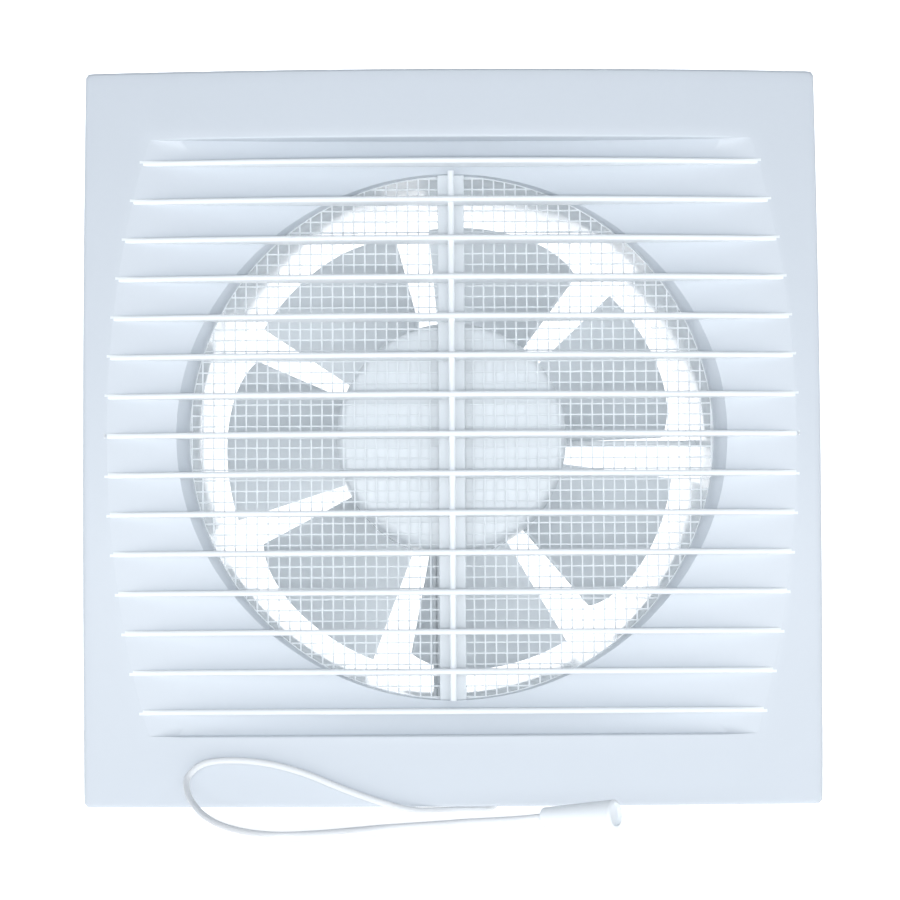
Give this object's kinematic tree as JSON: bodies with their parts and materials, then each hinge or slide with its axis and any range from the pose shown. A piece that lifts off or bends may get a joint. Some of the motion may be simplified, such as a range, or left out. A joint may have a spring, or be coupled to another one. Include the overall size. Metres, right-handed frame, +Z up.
{
  "type": "bathroom extractor fan",
  "caption": "Square wall-mounted extractor fan with a domed louvred front, insect mesh, duct spigot, shaded-pole motor, axial impeller and a pull-cord switch.",
  "frame": {"origin": "on the duct's axis in the plane of the wall, at the centre of the four wall fixing holes", "axes": "+Y runs out of the duct at the back, the louvred front faces -Y, +Z is up, +X is to the right as seen from the front"},
  "size_m": [0.2064, 0.1802, 0.209],
  "materials": {
    "white_gloss": "smooth gloss white plastic",
    "mesh_white": "fine white plastic net",
    "duct_white": "smooth gloss white plastic",
    "lamination": "stacked steel sheets",
    "steel": "bright zinc-plated steel",
    "bronze": "oiled sintered bronze",
    "copper": "enamelled copper wire",
    "ivory": "satin ivory plastic",
    "rubber": "matt dark rubber",
    "contact": "polished brass",
    "brown_wire": "satin brown sleeve",
    "blue_wire": "satin blue sleeve",
    "lead_white": "satin white sleeve",
    "cord_white": "fine braided white cord",
    "washer": "brown fibre"
  },
  "bodies": {
    "fan_case": {"front_cover": "white_gloss", "insect_mesh": "mesh_white", "fan_housing": "duct_white", "motor_cap": "white_gloss", "stator_core": "lamination", "coil_bobbin": "ivory", "stator_winding": "copper", "shading_rings": "copper", "front_bracket": "steel", "rear_bracket": "steel", "front_bearing": "bronze", "rear_bearing": "bronze", "motor_bolts": "steel", "motor_dampers": "rubber", "terminal_block": "ivory", "terminal_screws": "steel", "cable_clamp": "white_gloss", "clamp_screws": "steel", "cable_grommet": "rubber", "live_wire": "brown_wire", "motor_live_wire": "lead_white", "motor_neutral_wire": "lead_white", "switch_body": "white_gloss", "switch_lid": "white_gloss", "fixed_contacts": "contact", "return_spring": "steel", "switch_screws": "steel", "cord_bush": "white_gloss", "pull_cord": "cord_white", "cord_pull": "white_gloss"},
    "impeller_set": {"impeller": "white_gloss", "impeller_nut": "white_gloss", "motor_shaft": "steel", "rotor": "lamination", "thrust_washers": "washer"},
    "slider": {"pull_slider": "white_gloss"},
    "drum": {"ratchet_drum": "ivory", "contact_bridge": "contact"}
  },
  "joints": [
    {"name": "impeller_spin", "type": "hinge", "parent": "fan_case", "child": "impeller_set", "pos_m": [0, 0, 0], "axis": [0, 1, 0], "continuous": true},
    {"name": "switch_pull", "type": "slide", "parent": "fan_case", "child": "slider", "axis": [0, 0, -1], "range_m": [0, 0.004], "stiffness_N_per_m": 300, "springref_m": -0.002, "deforming": ["return_spring"]},
    {"name": "ratchet_turn", "type": "hinge", "parent": "fan_case", "child": "drum", "pos_m": [0.0174, -0.011, -0.0908], "axis": [0, 1, 0], "range_deg": [0, 45.1]}
  ],
  "couplings": [
    {"joint": "ratchet_turn", "follows": "switch_pull", "rad_per_m": 196}
  ]
}
